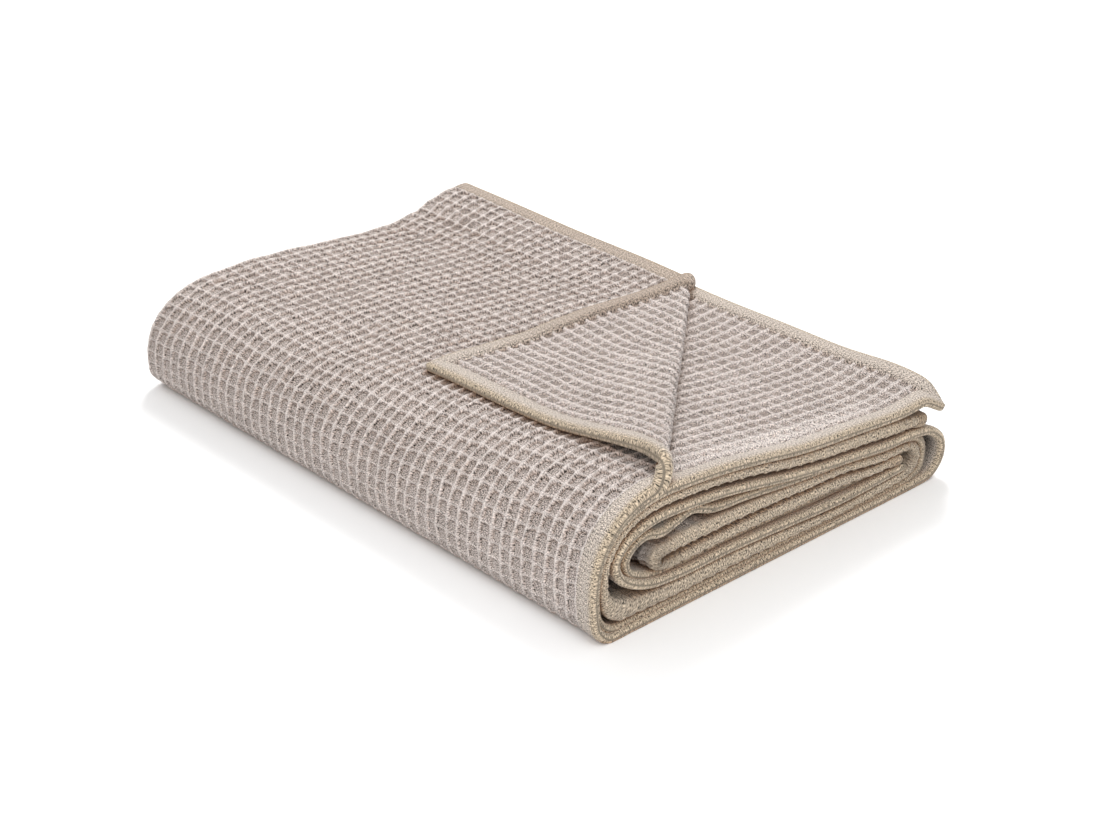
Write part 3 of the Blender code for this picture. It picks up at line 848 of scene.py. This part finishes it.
def makeWaffleCotton():
    look = clothLook
    material = bpy.data.materials.new("waffleCotton")
    material.use_nodes = True
    tree = material.node_tree
    shader = next(n for n in tree.nodes if n.type == "BSDF_PRINCIPLED")
    uv = addNode(tree, "ShaderNodeUVMap", uv_map="clothUV").outputs[0]
    split = addNode(tree, "ShaderNodeSeparateXYZ", {0: uv})
    names = ("relief", "hem", "sideHem", "edge", "stitch", "lighterBand", "dull")
    relief, hemShare, sideHem, edge, stitch, lighterBand, dull = (
        addNode(tree, "ShaderNodeAttribute", attribute_name=n).outputs["Fac"] for n in names
    )
    ways = {0: sideHem, 2: split.outputs[0], 3: split.outputs[1]}
    along = addNode(tree, "ShaderNodeMix", ways).outputs[0]

    def noise(scale, detail):
        inputs = {"Vector": uv, "Scale": scale, "Detail": detail}
        return addNode(tree, "ShaderNodeTexNoise", inputs).outputs[0]

    def wave(place, pitch, shift):
        turned = mathNode(tree, "MULTIPLY", place, 2 * math.pi / pitch)
        return mathNode(tree, "SINE", mathNode(tree, "ADD", turned, shift))

    # crossing yarns with a cotton grain all over, and crosswise ribs on the hems
    jitter = noise(300.0, 1.0)
    yarnShift = mathNode(tree, "MULTIPLY", jitter, 12.0)
    warp = wave(split.outputs[0], look["yarnPitch"], yarnShift)
    weft = wave(split.outputs[1], look["yarnPitch"], yarnShift)
    yarn = mathNode(tree, "MULTIPLY", mathNode(tree, "ADD", warp, weft), look["yarn"])
    rib = wave(along, look["ribPitch"], mathNode(tree, "MULTIPLY", jitter, 3.5))
    rib = mathNode(tree, "MULTIPLY", mathNode(tree, "MULTIPLY", rib, look["rib"]), hemShare)
    grain = mathNode(tree, "SUBTRACT", noise(look["grain"], 1.0), 0.5)
    grain = mathNode(tree, "MULTIPLY", grain, 1.6)
    height = mathNode(tree, "ADD", mathNode(tree, "ADD", yarn, rib), grain)

    # colour: ridges lighter than cells, whose darker colour is painted shade, hems yellower to the edge
    # with the side fold painted khaki as warm shade, stitches, uneven dye, and painted shade between
    # the plies and in the cells
    uneven = mathNode(tree, "SUBTRACT", noise(26.0, 3.0), 0.5)
    uneven = mathNode(tree, "MULTIPLY", uneven, look["uneven"])
    khakiAndWarmShade = mathNode(tree, "ADD", edge, mathNode(tree, "MULTIPLY", uneven, 2.0), clamp=True)
    waffled = mixColour(tree, relief, look["paintedShadeCell"], look["ridge"])
    hemmed = mixColour(tree, khakiAndWarmShade, look["hem"], look["edge"])
    plain = mixColour(tree, mathNode(tree, "MAXIMUM", hemShare, edge), waffled, hemmed)
    plain = mixColour(tree, mathNode(tree, "MULTIPLY", lighterBand, 0.6), plain, look["lighterBand"])
    dulled = mixColour(tree, dull, (1.0, 1.0, 1.0), look["dull"])
    # painted shade: the colour is darkened and browned where the surface is closed in, between the
    # plies and in the cells
    reach = {"Distance": look["paintedShadeReach"]}
    openness = addNode(tree, "ShaderNodeAmbientOcclusion", reach, samples=6).outputs["AO"]
    openness = mathNode(tree, "MULTIPLY", openness, look["openness"], clamp=True)
    paintedShade = mixColour(tree, openness, look["paintedShadeTint"], (1.0, 1.0, 1.0))
    plain = mixColour(tree, 1.0, plain, dulled, "MULTIPLY")
    plain = mixColour(tree, 1.0, plain, paintedShade, "MULTIPLY")
    dash = mathNode(tree, "GREATER_THAN", wave(along, look["dashPitch"], jitter), -0.1)
    sewn = mathNode(tree, "MULTIPLY", mathNode(tree, "MULTIPLY", stitch, dash), -look["stitch"])
    strengths = {0: relief, 2: look["grainInCells"], 3: look["grainOnRidges"]}
    tone = mathNode(tree, "MULTIPLY", height, addNode(tree, "ShaderNodeMix", strengths).outputs[0])
    tone = mathNode(tree, "ADD", mathNode(tree, "ADD", tone, sewn), mathNode(tree, "ADD", uneven, 1.0))
    toned = addNode(tree, "ShaderNodeVectorMath", {0: plain}, operation="SCALE")
    tree.links.new(tone, toned.inputs["Scale"])
    tree.links.new(toned.outputs[0], shader.inputs["Base Color"])
    raised = {"Height": height, "Strength": 1.0, "Distance": look["bump"]}
    bump = addNode(tree, "ShaderNodeBump", raised)
    tree.links.new(bump.outputs[0], shader.inputs["Normal"])
    shader.inputs["Roughness"].default_value = look["roughness"]
    shader.inputs["Specular IOR Level"].default_value = 0.25
    shader.inputs["Sheen Weight"].default_value = look["sheen"]
    shader.inputs["Sheen Roughness"].default_value = 0.5
    return material


waffleCotton = makeWaffleCotton()
for piece in clothPieces:
    piece.data.materials.append(waffleCotton)
    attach(piece, "root")
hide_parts("bedspread")
print("cloth dressed")

# floor and light
studio = {
    "floor": (0.90, 0.90, 0.90),
    "world": 0.74,
    # place, size and power of each soft lamp
    "key": ((-1.1, 1.05, 1.7), 0.8, 44.0),
    "fill": ((1.3, -1.1, 1.5), 2.0, 33.0),
}


def makeStudio():
    mesh = bpy.data.meshes.new("floor")
    mesh.from_pydata([(-4, -4, 0), (4, -4, 0), (4, 4, 0), (-4, 4, 0)], [], [(0, 1, 2, 3)])
    floor = bpy.data.objects.new("floor", mesh)
    bpy.context.scene.collection.objects.link(floor)
    material = bpy.data.materials.new("paleFloor")
    material.use_nodes = True
    shader = next(n for n in material.node_tree.nodes if n.type == "BSDF_PRINCIPLED")
    shader.inputs["Base Color"].default_value = (*studio["floor"], 1.0)
    shader.inputs["Roughness"].default_value = 0.8
    mesh.materials.append(material)
    world = bpy.data.worlds.new("studio")
    world.use_nodes = True
    background = next(n for n in world.node_tree.nodes if n.type == "BACKGROUND")
    background.inputs[0].default_value = (1.0, 1.0, 1.0, 1.0)
    background.inputs[1].default_value = studio["world"]
    bpy.context.scene.world = world
    for name in ("key", "fill"):
        place, size, power = studio[name]
        data = bpy.data.lights.new(name, "AREA")
        data.shape = "SQUARE"
        data.size = size
        data.energy = power
        lamp = bpy.data.objects.new(name, data)
        lamp.location = place
        towards = Vector((0, 0, 0.05)) - Vector(place)
        lamp.rotation_euler = towards.to_track_quat("-Z", "Y").to_euler()
        bpy.context.scene.collection.objects.link(lamp)
    bpy.context.scene.view_settings.view_transform = "Standard"


makeStudio()
print("studio made")
